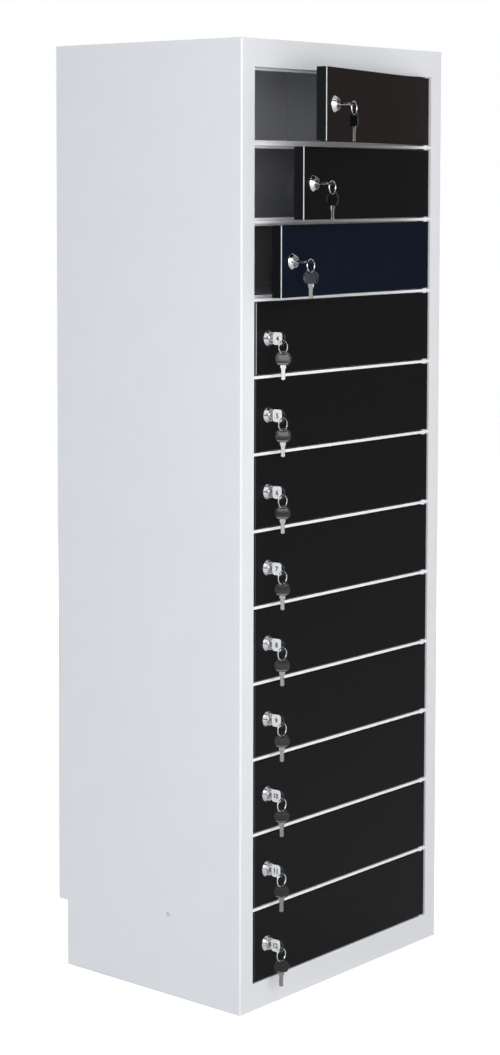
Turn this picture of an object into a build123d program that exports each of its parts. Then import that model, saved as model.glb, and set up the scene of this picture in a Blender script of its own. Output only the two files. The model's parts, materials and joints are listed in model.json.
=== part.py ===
from build123d import *
import os
from math import cos, pi, radians, sin

os.makedirs("parts", exist_ok=True)

# A twelve-door charging locker. The floor is z = 0 and the origin lies under the middle of the
# cabinet. The doors face -Y, and +X is to the right of someone who stands in front of them.
# All sizes are in millimetres.

# Cabinet, over the sheet metal
HEIGHT = 1400.0
WIDTH = 480.0
DEPTH = 365.0
SHEET = 1.2
COVER_SHEET = 1.0
BEND = 3.0
STILE = 28.0
RAIL = 40.0
KEEPER = 8.0
REAR_FLANGE = 15.0
SKIRTING_HEIGHT = 100.0
SKIRTING_DEPTH = 18.0
DIMPLE_R = 4.0
DIMPLE_SIDES = 8
DIMPLE_DEEP = 0.5
DIMPLE_Z = 121.0
DIMPLE_BACK = 140.0

# Twelve doors, one above the other, on pivot pins near their right edge
DOORS = 12
AJAR = (16.0, 11.2, 6.2)
BAR = 4.0
DOOR_GAP = 2.0
DOOR_SIDE_GAP = 3.0
DOOR_DEEP = 15.0
DOOR_SHEET = 1.0
DOOR_BEND = 1.6
STOP_GAP = 0.5
PIVOT_IN = 7.5
PIVOT_BACK = 4.0
PIVOT_R = 2.0
PIVOT_REACH = 6.0
PIVOT_CLEAR = 0.06
PIVOT_SIDES = 8
PIVOT_HOLE_SIDES = 6
HINGE_CHAMFER = 6.0

# Bars between the doors, shelves behind them and the partition at their back
BAR_SHEET = 1.0
BAR_LIP = 5.7
LIP_SHORT = 3.0
SHELF_SHEET = 1.0
SHELF_FLANGE = 10.0
FIT = 0.3
REAR_SPACE = 55.0
PARTITION_SHEET = 1.0
PARTITION_FLANGE = 14.0

# Cam lock, the same in every door
LOCK_IN = 29.0
LOCK_SIDES = 10
ROSETTE_R = 11.8
ROSETTE_TALL = 6.0
ROSETTE_BEVEL = 3.2
ROSETTE_RIM = 0.8
ROSETTE_SIDES = 14
BODY_R = 9.4
BODY_FLATS = 16.0
BODY_BEHIND = 16.2
BODY_CLEAR = 0.2
NUT_R = 13.4
NUT_THICK = 4.0
NUT_CLEAR = 0.05
BORE_R = 6.25
PLUG_R = 5.9
PLUG_PROUD = 0.6
PLUG_TAIL = 1.2
CAM_REACH = 30.0
CAM_HEEL = 7.0
CAM_WIDE = 14.0
CAM_CORNER = 3.0
CAM_THICK = 2.0
CAM_SCREW_R = 4.6
CAM_SCREW_THICK = 2.5

# Keys, each with a round moulded bow and a slot near the bow's outer edge
BOW_R = 11.4
BOW_SIDES = 14
BOW_FLAT = 8.8
BOW_THICK = 2.6
SLOT_OUT = 7.6
SLOT_WIDE = 3.0
SLOT_LONG = 7.8
SHOULDER_WIDE = 8.6
SHOULDER_LONG = 4.2
BLADE_WIDE = 6.4
BLADE_LONG = 21.1
BLADE_TIP = 2.0
BLADE_THICK = 2.0
KEYWAY_CLEAR = 0.15

# Flat split ring, hung in the slot of the key that stands in the lock, and the spare key on it
RING_R = 10.0
RING_WIRE = 1.4
RING_SIDES = 12
RING_PIVOT = 6.2
RING_DROP = 5.6
SPARE_TURN = 45.0
SPARE_TURN_AJAR = (126.5, 107.0, 75.0)
SPARE_SEAT = 0.55

# Charging modules, power unit, screws and holes in the floor plate
MODULE_IN = 90.0
MODULE_WIDE = 48.0
MODULE_TALL = 44.0
MODULE_PROUD = 7.0
MODULE_BODY_WIDE = 38.0
MODULE_BODY_TALL = 32.0
MODULE_BODY_DEEP = 28.0
MODULE_CLEAR = 0.4
PORT_DEEP = 9.0
PORT_PITCH = 16.0
PORT_SIZES = ((13.0, 5.6), (9.2, 3.4))
UNIT_IN = 130.0
UNIT_Z = 240.0
UNIT_WIDE = 90.0
UNIT_TALL = 260.0
UNIT_DEEP = 40.0
UNIT_CORNER = 5.0
INLET_Z = 180.0
INLET_WIDE = 27.0
INLET_TALL = 19.6
INLET_DEEP = 16.0
INLET_WALL = 1.6
INLET_FLANGE_WIDE = 50.0
INLET_FLANGE_TALL = 29.0
INLET_FLANGE = 2.0
INLET_PIN_WIDE = 2.0
INLET_PIN_TALL = 4.0
INLET_PIN_PITCH = 7.0
SCREW_ROWS = 3
SCREW_R = 2.0
SCREW_LONG = 6.0
SCREW_HEAD_R = 4.4
SCREW_HEAD = 2.2
SCREW_SIDES = 8
SCREW_CLEAR = 0.1
SCREW_END = 50.0
FLOOR_BOLT_R = 4.5
FLOOR_BOLT_SIDE = 65.0
FLOOR_BOLT_END = 62.5

# What follows from those sizes
INNER = WIDTH / 2 - STILE
SIDE_INSIDE = WIDTH / 2 - SHEET
SIDE_REAR = DEPTH - COVER_SHEET
STEP_REAR = SIDE_REAR - SKIRTING_DEPTH
STEP_TOP = SKIRTING_HEIGHT + COVER_SHEET
BODY_TOP = HEIGHT - SHEET
STOP_FACE = DOOR_DEEP + STOP_GAP
LIP_OUT = BAR_LIP - BAR / 2
SHELF_FRONT = STOP_FACE + SHEET + FIT
TONGUE_FRONT = PIVOT_BACK + PIVOT_R + 1.0
PARTITION_BACK = DEPTH - REAR_SPACE
MODULE_X = MODULE_IN - WIDTH / 2
UNIT_X = WIDTH / 2 - UNIT_IN
FLOOR_BOLT_X = WIDTH / 2 - FLOOR_BOLT_SIDE
FLOOR_BOLT_Y = DEPTH / 2 - FLOOR_BOLT_END
PITCH = (HEIGHT - 2 * RAIL + BAR) / DOORS
DOOR_HIGH = PITCH - BAR - 2 * DOOR_GAP
DOOR_WIDE = 2 * INNER - 2 * DOOR_SIDE_GAP
PIVOT_X = INNER - DOOR_SIDE_GAP - PIVOT_IN
LIP_LEFT = -INNER + KEEPER
LIP_RIGHT = PIVOT_X - LIP_SHORT
PLUG_FACE = ROSETTE_TALL + PLUG_PROUD
PLUG_REAR = -BODY_BEHIND - PLUG_TAIL
BOW_CENTRE = PLUG_FACE + SHOULDER_LONG + BOW_FLAT
RING_INSIDE = (RING_R - RING_WIRE) * cos(pi / RING_SIDES)
SPARE_CENTRE = -RING_DROP - RING_INSIDE + SPARE_SEAT - SLOT_OUT - SLOT_WIDE / 2
SCREW_X = WIDTH / 2 - REAR_FLANGE / 2
SCREW_PITCH = (BODY_TOP - STEP_TOP - 2 * SCREW_END) / (SCREW_ROWS - 1)
SCREW_HEIGHTS = [STEP_TOP + SCREW_END + row * SCREW_PITCH for row in range(SCREW_ROWS)]


def back(distance):
    """The y that lies this far behind the front face of the cabinet."""
    return distance - DEPTH / 2


def seen_from_front(x, distance, z):
    """Plane that faces the user, with x to the right and y up."""
    return Plane(origin=(x, back(distance), z), x_dir=(1, 0, 0), z_dir=(0, -1, 0))


def side_view(x):
    """Plane across the cabinet at x, with its own x measured back from the front face and y up."""
    return Plane(origin=(x, back(0), 0), x_dir=(0, 1, 0), z_dir=(1, 0, 0))


def plan_view(z):
    """Level plane at z, with its own y measured back from the front face."""
    return Plane(origin=(0, back(0), z), x_dir=(1, 0, 0), z_dir=(0, 0, 1))


def bar_height(number):
    """Height of the middle of the bar under a door, where door 0 is the top one."""
    return HEIGHT - RAIL + BAR / 2 - (number + 1) * PITCH


def door_angle(number):
    """Degrees that a door stands open in the photograph: only the top three are ajar."""
    return AJAR[number] if number < len(AJAR) else 0.0


def hinge_plane(number):
    """Level plane on a door's pivot at its bottom edge, turned with the door."""
    bottom = bar_height(number) + BAR / 2 + DOOR_GAP
    shut = Plane(origin=(PIVOT_X, back(PIVOT_BACK), bottom), x_dir=(1, 0, 0), z_dir=(0, 0, 1))
    return shut.rotated((0, 0, door_angle(number)))


def lock_plane(number):
    """Plane on a door's outer face at its lock, with x to the right, y up and z outward."""
    hinge = hinge_plane(number)
    middle = Vector(PIVOT_IN - DOOR_WIDE + LOCK_IN, -PIVOT_BACK, DOOR_HIGH / 2)
    return Plane(origin=hinge.from_local_coords(middle), x_dir=hinge.x_dir, z_dir=-hinge.y_dir)


def key_plane(number):
    """The lock's plane turned with its key, which is level in a door that stands ajar."""
    lock = lock_plane(number)
    across = lock.y_dir if door_angle(number) else lock.x_dir
    return Plane(origin=lock.origin, x_dir=across, z_dir=lock.z_dir)


def bow_plane(key):
    """Plane of the bow of the key in a lock, with x outward and its face to the key's left."""
    middle = key.from_local_coords(Vector(0, 0, BOW_CENTRE))
    return Plane(origin=middle, x_dir=key.z_dir, z_dir=-key.x_dir)


def ring_plane(number):
    """Upright plane of a split ring, on the pivot where it hangs in the key's slot."""
    pivot = key_plane(number).from_local_coords(Vector(0, -RING_PIVOT, BOW_CENTRE + SLOT_OUT))
    lock = lock_plane(number)
    return Plane(origin=pivot, x_dir=lock.x_dir, z_dir=lock.z_dir)


def spare_plane(number):
    """Plane of the bow of the hanging key, with x up and turned a little on its ring."""
    ring = ring_plane(number)
    turn = radians(SPARE_TURN_AJAR[number] if door_angle(number) else SPARE_TURN)
    middle = ring.from_local_coords(Vector(0, SPARE_CENTRE, 0))
    return Plane(origin=middle, x_dir=ring.y_dir, z_dir=ring.x_dir * sin(turn) - ring.z_dir * cos(turn))


def sheet_section(points, radii, thick, side):
    """Section of a folded sheet whose outer skin runs through the points."""
    with BuildSketch() as section:
        with BuildLine():
            FilletPolyline(points, radius=radii)
            offset(amount=thick, side=side, kind=Kind.INTERSECTION)
        make_face()
    return section.sketch


def side_section(sign, rear, keeper):
    """Plan of one side: rear flange, side, front stile, return and the lip that a cam catches."""
    half = WIDTH / 2
    points = [
        (sign * (half - REAR_FLANGE), rear),
        (sign * half, rear),
        (sign * half, 0),
        (sign * INNER, 0),
        (sign * INNER, STOP_FACE),
    ]
    radii = [0, BEND, 0]
    if keeper:
        points.append((sign * (INNER - KEEPER), STOP_FACE))
        radii.append(0)
    return sheet_section(points, radii, SHEET, Side.LEFT if sign < 0 else Side.RIGHT)


def stop_end_faces():
    """Plan of what the stop lips leave free: the keeper on the left and the pivots on the right."""
    with BuildSketch() as ends:
        with Locations((LIP_LEFT, STOP_FACE)):
            Rectangle(KEEPER, SHEET, align=(Align.MAX, Align.MIN))
        with Locations((LIP_RIGHT, STOP_FACE)):
            Rectangle(INNER - LIP_RIGHT, SHEET, align=(Align.MIN, Align.MIN))
    return ends.sketch


def lock_body_face(clearance):
    """Section of the lock's body: round, with two flats that keep it from turning in the door."""
    with BuildSketch() as face:
        RegularPolygon(BODY_R + clearance, LOCK_SIDES)
        Rectangle(3 * BODY_R, BODY_FLATS + 2 * clearance, mode=Mode.INTERSECT)
    return face.sketch


def bow_face():
    """Bow about its middle, with its outer end to +x, its flat side to -x and the ring's slot."""
    with BuildSketch() as face:
        RegularPolygon(BOW_R, BOW_SIDES)
        with Locations((-BOW_FLAT, 0)):
            Rectangle(BOW_R, 3 * BOW_R, align=(Align.MAX, Align.CENTER), mode=Mode.SUBTRACT)
        with Locations((SLOT_OUT, 0)):
            Rectangle(SLOT_WIDE, SLOT_LONG, mode=Mode.SUBTRACT)
    return face.sketch


def blade_face():
    """Blade with its wider shoulder, from the bow's flat side to the tip."""
    neck = -BOW_FLAT - SHOULDER_LONG
    tip = -BOW_FLAT - BLADE_LONG
    with BuildSketch() as face:
        with BuildLine():
            Polyline(
                (-BOW_FLAT, 0),
                (-BOW_FLAT, SHOULDER_WIDE / 2),
                (neck, SHOULDER_WIDE / 2),
                (neck, BLADE_WIDE / 2),
                (tip + BLADE_TIP, BLADE_WIDE / 2),
                (tip, BLADE_WIDE / 2 - BLADE_TIP),
                (tip, 0),
                close=True,
            )
        make_face()
        mirror(about=Plane.XZ)
    return face.sketch


def pivot_hole_face():
    """Hole for a pivot pin, whose flats clear the pin."""
    with BuildSketch() as face:
        RegularPolygon(PIVOT_R + PIVOT_CLEAR, PIVOT_HOLE_SIDES, major_radius=False)
    return face.sketch


# Side panels, with a shallow dimple near the foot of each
for side_name, side_sign in (("side_panel_left", -1), ("side_panel_right", 1)):
    with BuildPart() as side_panel:
        with BuildSketch(plan_view(STEP_TOP)):
            add(side_section(side_sign, SIDE_REAR, side_sign < 0))
        extrude(amount=BODY_TOP - STEP_TOP)
        with BuildSketch(plan_view(SHEET)):
            add(side_section(side_sign, STEP_REAR, side_sign < 0))
        extrude(amount=STEP_TOP - SHEET)
        with BuildSketch(side_view(side_sign * WIDTH / 2)):
            with Locations((DIMPLE_BACK, DIMPLE_Z)):
                RegularPolygon(DIMPLE_R, DIMPLE_SIDES)
        extrude(amount=-side_sign * DIMPLE_DEEP, mode=Mode.SUBTRACT)
        for height in SCREW_HEIGHTS:
            with BuildSketch(seen_from_front(side_sign * SCREW_X, SIDE_REAR, height)):
                RegularPolygon(SCREW_R + SCREW_CLEAR, SCREW_SIDES)
            extrude(amount=2 * SHEET, mode=Mode.SUBTRACT)
    side_panel.part.label = side_name
    export_step(side_panel.part, f"parts/{side_name}.step")

# Top panel: the lid sheet and the top rail folded down from it
with BuildPart() as top_panel:
    with BuildSketch(plan_view(BODY_TOP)):
        Rectangle(WIDTH, DEPTH, align=(Align.CENTER, Align.MIN))
    extrude(amount=SHEET)
    with BuildSketch(side_view(-INNER)):
        add(
            sheet_section(
                [
                    (0, BODY_TOP),
                    (0, HEIGHT - RAIL),
                    (STOP_FACE, HEIGHT - RAIL),
                    (STOP_FACE, HEIGHT - RAIL - LIP_OUT),
                ],
                [0, 0],
                SHEET,
                Side.LEFT,
            )
        )
    extrude(amount=2 * INNER)
    with BuildSketch(plan_view(0)):
        add(stop_end_faces())
    extrude(amount=HEIGHT - RAIL / 2, mode=Mode.SUBTRACT)
    with BuildSketch(plan_view(0)):
        with Locations((PIVOT_X, PIVOT_BACK)):
            add(pivot_hole_face())
    extrude(amount=HEIGHT - RAIL / 2, mode=Mode.SUBTRACT)
top_panel.part.label = "top_panel"
export_step(top_panel.part, "parts/top_panel.step")

# Base panel: the floor plate with four anchor holes and the bottom rail folded up from it
with BuildPart() as base_panel:
    with BuildSketch(plan_view(0)):
        Rectangle(WIDTH, DEPTH - SKIRTING_DEPTH, align=(Align.CENTER, Align.MIN))
    extrude(amount=SHEET)
    with BuildSketch(Plane.XY):
        with GridLocations(2 * FLOOR_BOLT_X, 2 * FLOOR_BOLT_Y, 2, 2):
            Circle(FLOOR_BOLT_R)
    extrude(amount=SHEET, mode=Mode.SUBTRACT)
    with BuildSketch(side_view(-INNER)):
        add(
            sheet_section(
                [(0, SHEET), (0, RAIL), (STOP_FACE, RAIL), (STOP_FACE, RAIL + LIP_OUT)],
                [0, 0],
                SHEET,
                Side.RIGHT,
            )
        )
    extrude(amount=2 * INNER)
    with BuildSketch(plan_view(RAIL / 2)):
        add(stop_end_faces())
    extrude(amount=RAIL, mode=Mode.SUBTRACT)
    with BuildSketch(plan_view(RAIL / 2)):
        with Locations((PIVOT_X, PIVOT_BACK)):
            add(pivot_hole_face())
    extrude(amount=RAIL, mode=Mode.SUBTRACT)
base_panel.part.label = "base_panel"
export_step(base_panel.part, "parts/base_panel.step")

# Back cover, stepped forward at the foot to clear a skirting board
with BuildPart() as back_cover:
    with BuildSketch(side_view(-WIDTH / 2)):
        add(
            sheet_section(
                [
                    (DEPTH, BODY_TOP),
                    (DEPTH, SKIRTING_HEIGHT),
                    (DEPTH - SKIRTING_DEPTH, SKIRTING_HEIGHT),
                    (DEPTH - SKIRTING_DEPTH, SHEET),
                ],
                [0, 0],
                COVER_SHEET,
                Side.RIGHT,
            )
        )
    extrude(amount=WIDTH)
    with BuildSketch(seen_from_front(UNIT_X, DEPTH, INLET_Z)):
        Rectangle(INLET_WIDE + 2 * SCREW_CLEAR, INLET_TALL + 2 * SCREW_CLEAR)
    extrude(amount=COVER_SHEET, mode=Mode.SUBTRACT)
    for height in SCREW_HEIGHTS:
        with BuildSketch(seen_from_front(0, DEPTH, height)):
            with Locations((-SCREW_X, 0), (SCREW_X, 0)):
                RegularPolygon(SCREW_R + SCREW_CLEAR, SCREW_SIDES)
        extrude(amount=COVER_SHEET, mode=Mode.SUBTRACT)
back_cover.part.label = "back_cover"
export_step(back_cover.part, "parts/back_cover.step")

# Partition behind the compartments, with a hole for each charging module
with BuildPart() as rear_partition:
    with BuildSketch(plan_view(SHEET + FIT)):
        add(
            sheet_section(
                [
                    (-SIDE_INSIDE + FIT, PARTITION_BACK + PARTITION_FLANGE),
                    (-SIDE_INSIDE + FIT, PARTITION_BACK),
                    (SIDE_INSIDE - FIT, PARTITION_BACK),
                    (SIDE_INSIDE - FIT, PARTITION_BACK + PARTITION_FLANGE),
                ],
                [0, 0],
                PARTITION_SHEET,
                Side.LEFT,
            )
        )
    extrude(amount=BODY_TOP - SHEET - 2 * FIT)
    for number in range(DOORS):
        with BuildSketch(seen_from_front(MODULE_X, PARTITION_BACK, bar_height(number) + PITCH / 2)):
            Rectangle(MODULE_BODY_WIDE + 2 * MODULE_CLEAR, MODULE_BODY_TALL + 2 * MODULE_CLEAR)
        extrude(amount=-PARTITION_SHEET, mode=Mode.SUBTRACT)
rear_partition.part.label = "rear_partition"
export_step(rear_partition.part, "parts/rear_partition.step")

# Bars between the doors: a thin nose flush with the front and two lips that the doors stop on
with BuildPart() as crossbars:
    for number in range(DOORS - 1):
        middle = bar_height(number)
        with BuildSketch(side_view(-INNER)):
            add(
                sheet_section(
                    [
                        (STOP_FACE, middle - BAR_LIP),
                        (STOP_FACE, middle - BAR / 2),
                        (0, middle - BAR / 2),
                        (0, middle + BAR / 2),
                        (STOP_FACE, middle + BAR / 2),
                        (STOP_FACE, middle + BAR_LIP),
                    ],
                    [0, 0, 0, 0],
                    BAR_SHEET,
                    Side.RIGHT,
                )
            )
        extrude(amount=2 * INNER)
    with BuildSketch(plan_view(0)):
        add(stop_end_faces())
    extrude(amount=HEIGHT, mode=Mode.SUBTRACT)
    with BuildSketch(plan_view(0)):
        with Locations((PIVOT_X, PIVOT_BACK)):
            add(pivot_hole_face())
    extrude(amount=HEIGHT, mode=Mode.SUBTRACT)
crossbars.part.label = "crossbars"
export_step(crossbars.part, "parts/crossbars.step")

# Shelves: each one's tongue goes into the nose of a bar, and the lowest is the loose floor tray
with BuildPart() as shelves:
    for number in range(DOORS):
        lowest = number == DOORS - 1
        top = RAIL if lowest else bar_height(number) + SHELF_SHEET / 2
        half = SIDE_INSIDE - FIT
        with BuildSketch(plan_view(top)):
            with Locations((0, SHELF_FRONT)):
                Rectangle(2 * half, PARTITION_BACK - FIT - SHELF_FRONT, align=(Align.CENTER, Align.MIN))
        extrude(amount=-SHELF_FLANGE)
        with BuildSketch(plan_view(top - SHELF_SHEET)):
            with Locations((0, SHELF_FRONT)):
                Rectangle(
                    2 * half - 2 * SHELF_SHEET,
                    PARTITION_BACK - FIT - SHELF_FRONT - SHELF_SHEET,
                    align=(Align.CENTER, Align.MIN),
                )
        extrude(amount=-SHELF_FLANGE, mode=Mode.SUBTRACT)
        if not lowest:
            with BuildSketch(plan_view(top)):
                with Locations((LIP_LEFT + FIT, TONGUE_FRONT)):
                    Rectangle(
                        INNER - LIP_LEFT - 2 * FIT,
                        SHELF_FRONT + FIT - TONGUE_FRONT,
                        align=(Align.MIN, Align.MIN),
                    )
            extrude(amount=-SHELF_SHEET)
shelves.part.label = "shelves"
export_step(shelves.part, "parts/shelves.step")

# Pivot pins: one through each bar and one through each rail's return
with BuildPart() as hinge_pins:
    for number in range(-1, DOORS):
        middle = bar_height(number)
        low = RAIL - SHEET if number == DOORS - 1 else middle - BAR / 2 - DOOR_GAP - PIVOT_REACH
        high = HEIGHT - RAIL + SHEET if number < 0 else middle + BAR / 2 + DOOR_GAP + PIVOT_REACH
        with BuildSketch(plan_view(low)):
            with Locations((PIVOT_X, PIVOT_BACK)):
                RegularPolygon(PIVOT_R, PIVOT_SIDES)
        extrude(amount=high - low)
hinge_pins.part.label = "hinge_pins"
export_step(hinge_pins.part, "parts/hinge_pins.step")

# Charging modules: a face plate in the compartment and a body in the space behind the partition
with BuildPart() as charging_modules:
    for number in range(DOORS):
        middle = bar_height(number) + PITCH / 2
        with BuildSketch(seen_from_front(MODULE_X, PARTITION_BACK, middle)):
            Rectangle(MODULE_WIDE, MODULE_TALL)
        extrude(amount=MODULE_PROUD)
        with BuildSketch(seen_from_front(MODULE_X, PARTITION_BACK, middle)):
            Rectangle(MODULE_BODY_WIDE, MODULE_BODY_TALL)
        extrude(amount=-MODULE_BODY_DEEP)
        for row, (port_wide, port_tall) in enumerate(PORT_SIZES):
            with BuildSketch(seen_from_front(MODULE_X, PARTITION_BACK - MODULE_PROUD, middle)):
                with Locations((0, PORT_PITCH / 2 - row * PORT_PITCH)):
                    Rectangle(port_wide, port_tall)
            extrude(amount=-PORT_DEEP, mode=Mode.SUBTRACT)
charging_modules.part.label = "charging_modules"
export_step(charging_modules.part, "parts/charging_modules.step")

# Power unit on the back of the partition, and the mains inlet in the back cover
with BuildPart() as power_unit:
    unit_plane = seen_from_front(UNIT_X, PARTITION_BACK + PARTITION_SHEET, UNIT_Z + UNIT_TALL / 2)
    with BuildSketch(unit_plane) as case_face:
        Rectangle(UNIT_WIDE, UNIT_TALL)
        chamfer(case_face.vertices(), UNIT_CORNER)
    extrude(amount=-UNIT_DEEP)
    with BuildSketch(seen_from_front(UNIT_X, DEPTH, INLET_Z)):
        Rectangle(INLET_WIDE, INLET_TALL)
    extrude(amount=INLET_DEEP)
    with BuildSketch(seen_from_front(UNIT_X, SIDE_REAR, INLET_Z)):
        Rectangle(INLET_FLANGE_WIDE, INLET_FLANGE_TALL)
    extrude(amount=INLET_FLANGE)
    with BuildSketch(seen_from_front(UNIT_X, DEPTH, INLET_Z)):
        Rectangle(INLET_WIDE - 2 * INLET_WALL, INLET_TALL - 2 * INLET_WALL)
    extrude(amount=INLET_DEEP - INLET_WALL, mode=Mode.SUBTRACT)
    with BuildSketch(seen_from_front(UNIT_X, DEPTH - INLET_DEEP + INLET_WALL, INLET_Z)):
        with Locations((-INLET_PIN_PITCH, -1), (0, 3), (INLET_PIN_PITCH, -1)):
            Rectangle(INLET_PIN_WIDE, INLET_PIN_TALL)
    extrude(amount=-(INLET_DEEP - 2 * INLET_WALL))
power_unit.part.label = "power_unit"
export_step(power_unit.part, "parts/power_unit.step")

# Screws that hold the back cover to the flanges of the side panels
with BuildPart() as cover_screws:
    for height in SCREW_HEIGHTS:
        with BuildSketch(seen_from_front(0, DEPTH, height)):
            with Locations((-SCREW_X, 0), (SCREW_X, 0)):
                RegularPolygon(SCREW_HEAD_R, SCREW_SIDES)
        extrude(amount=-SCREW_HEAD)
        with BuildSketch(seen_from_front(0, DEPTH, height)):
            with Locations((-SCREW_X, 0), (SCREW_X, 0)):
                RegularPolygon(SCREW_R, SCREW_SIDES)
        extrude(amount=SCREW_LONG)
cover_screws.part.label = "cover_screws"
export_step(cover_screws.part, "parts/cover_screws.step")

# Doors with their locks and keys
for number in range(DOORS):
    hinge = hinge_plane(number)
    lock = lock_plane(number)
    key = key_plane(number)

    # Door: a folded pan, open at the back, with a corner cut off beside the pivot
    with BuildPart() as door:
        with BuildSketch(hinge):
            with Locations((PIVOT_IN, -PIVOT_BACK)):
                Rectangle(DOOR_WIDE, DOOR_DEEP, align=(Align.MAX, Align.MIN))
        extrude(amount=DOOR_HIGH)
        upright = door.edges().filter_by(Axis.Z)
        across = upright.group_by(Axis(hinge.origin, hinge.y_dir))
        chamfer(across[0], DOOR_BEND)
        rear_corner = door.edges().filter_by(Axis.Z).group_by(Axis(hinge.origin, hinge.y_dir))[-1]
        chamfer(rear_corner.sort_by(Axis(hinge.origin, hinge.x_dir))[-1], HINGE_CHAMFER)
        open_face = door.faces().sort_by(Axis(hinge.origin, hinge.y_dir))[-1]
        offset(amount=-DOOR_SHEET, openings=open_face, kind=Kind.INTERSECTION)
        with BuildSketch(hinge):
            add(pivot_hole_face())
        extrude(amount=DOOR_HIGH, mode=Mode.SUBTRACT)
        with BuildSketch(lock):
            add(lock_body_face(BODY_CLEAR))
        extrude(amount=-2 * DOOR_SHEET, mode=Mode.SUBTRACT)
    door.part.label = f"door_{number + 1}"
    export_step(door.part, f"parts/door_{number + 1}.step")

    # Lock housing: a bevelled rosette on a body with flats, and the nut behind the door sheet
    with BuildPart() as lock_housing:
        with BuildSketch(lock):
            RegularPolygon(ROSETTE_R, ROSETTE_SIDES)
        extrude(amount=ROSETTE_TALL)
        rosette_face = lock_housing.faces().sort_by(Axis(lock.origin, lock.z_dir))[-1]
        chamfer(rosette_face.edges(), ROSETTE_BEVEL, ROSETTE_TALL - ROSETTE_RIM)
        with BuildSketch(lock):
            add(lock_body_face(0))
        extrude(amount=-BODY_BEHIND)
        with BuildSketch(lock.offset(-BODY_BEHIND)):
            RegularPolygon(BORE_R, LOCK_SIDES)
        extrude(amount=BODY_BEHIND + ROSETTE_TALL, mode=Mode.SUBTRACT)
    with BuildPart() as lock_nut:
        with BuildSketch(lock.offset(-DOOR_SHEET)):
            RegularPolygon(NUT_R, 6)
            RegularPolygon(BODY_R + NUT_CLEAR, LOCK_SIDES, mode=Mode.SUBTRACT)
        extrude(amount=-NUT_THICK)
    housing = Compound(label=f"lock_housing_{number + 1}", children=[lock_housing.part, lock_nut.part])
    export_step(housing, f"parts/lock_housing_{number + 1}.step")

    # Lock plug with its keyway, the cam on its tail and the screw that holds the cam
    with BuildPart() as plug:
        with BuildSketch(key.offset(PLUG_REAR)):
            RegularPolygon(PLUG_R, LOCK_SIDES)
        extrude(amount=PLUG_FACE - PLUG_REAR)
        with BuildSketch(key.offset(PLUG_FACE)):
            Rectangle(BLADE_THICK + 2 * KEYWAY_CLEAR, BLADE_WIDE + 2 * KEYWAY_CLEAR)
        extrude(amount=-(BLADE_LONG - SHOULDER_LONG + FIT), mode=Mode.SUBTRACT)
    with BuildPart() as cam:
        with BuildSketch(key.offset(PLUG_REAR)) as cam_face:
            with Locations((0, CAM_HEEL)):
                Rectangle(CAM_WIDE, CAM_HEEL + CAM_REACH, align=(Align.CENTER, Align.MAX))
            chamfer(cam_face.vertices(), CAM_CORNER)
        extrude(amount=-CAM_THICK)
    with BuildPart() as cam_screw:
        with BuildSketch(key.offset(PLUG_REAR - CAM_THICK)):
            RegularPolygon(CAM_SCREW_R, 6)
        extrude(amount=-CAM_SCREW_THICK)
    with BuildPart() as lock_key:
        with BuildSketch(bow_plane(key)):
            add(bow_face())
        extrude(amount=BOW_THICK / 2, both=True)
        with BuildSketch(bow_plane(key)):
            add(blade_face())
        extrude(amount=BLADE_THICK / 2, both=True)
    pieces = [plug.part, cam.part, cam_screw.part, lock_key.part]
    key_set = Compound(label=f"key_{number + 1}", children=pieces)
    export_step(key_set, f"parts/key_{number + 1}.step")

    # Split ring and the spare key that hangs on it
    with BuildPart() as split_ring:
        with BuildSketch(ring_plane(number)):
            with Locations((0, -RING_DROP)):
                RegularPolygon(RING_R, RING_SIDES)
                RegularPolygon(RING_R - RING_WIRE, RING_SIDES, mode=Mode.SUBTRACT)
        extrude(amount=RING_WIRE / 2, both=True)
    spare = spare_plane(number)
    with BuildPart() as spare_key:
        with BuildSketch(spare):
            add(bow_face())
        extrude(amount=BOW_THICK / 2, both=True)
        with BuildSketch(spare):
            add(blade_face())
        extrude(amount=BLADE_THICK / 2, both=True)
    spare_set = Compound(label=f"spare_key_{number + 1}", children=[split_ring.part, spare_key.part])
    export_step(spare_set, f"parts/spare_key_{number + 1}.step")
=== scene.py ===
"""Looks of a twelve-door charging locker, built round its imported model.

Lengths in the classes are millimetres. A shape is worked out in its own small frame and is
carried to its seat on the cabinet, in metres, when it becomes a piece.
"""

import json
import logging
import math
from collections.abc import Sequence
from dataclasses import dataclass
from enum import Enum

import bpy
import numpy as np
from mathutils import Matrix, Vector


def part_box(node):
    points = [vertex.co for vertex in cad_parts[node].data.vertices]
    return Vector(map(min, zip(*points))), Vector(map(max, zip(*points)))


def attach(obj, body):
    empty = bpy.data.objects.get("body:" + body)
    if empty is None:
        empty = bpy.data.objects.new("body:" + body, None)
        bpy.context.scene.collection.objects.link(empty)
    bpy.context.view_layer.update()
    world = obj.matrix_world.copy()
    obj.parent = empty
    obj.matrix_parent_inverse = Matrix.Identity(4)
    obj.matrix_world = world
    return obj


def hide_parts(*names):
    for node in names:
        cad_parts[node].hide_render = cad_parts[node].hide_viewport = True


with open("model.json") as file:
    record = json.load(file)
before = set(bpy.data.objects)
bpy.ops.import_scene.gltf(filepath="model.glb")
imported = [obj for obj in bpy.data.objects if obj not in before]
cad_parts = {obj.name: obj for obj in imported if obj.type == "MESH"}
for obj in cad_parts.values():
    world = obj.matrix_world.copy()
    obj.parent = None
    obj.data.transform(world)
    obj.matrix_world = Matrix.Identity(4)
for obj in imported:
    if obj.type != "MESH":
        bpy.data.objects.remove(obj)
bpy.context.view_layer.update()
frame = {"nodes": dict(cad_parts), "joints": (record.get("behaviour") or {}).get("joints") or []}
JOINTS = {joint["name"]: joint for joint in frame["joints"]}
MM = 0.001
NUMBERS = range(1, 13)
# The spare keys of the ajar doors hang turned on their rings by these angles, in degrees.
SPARE_TURNS = {1: 126.5, 2: 107.0, 3: 75.0}
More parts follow.
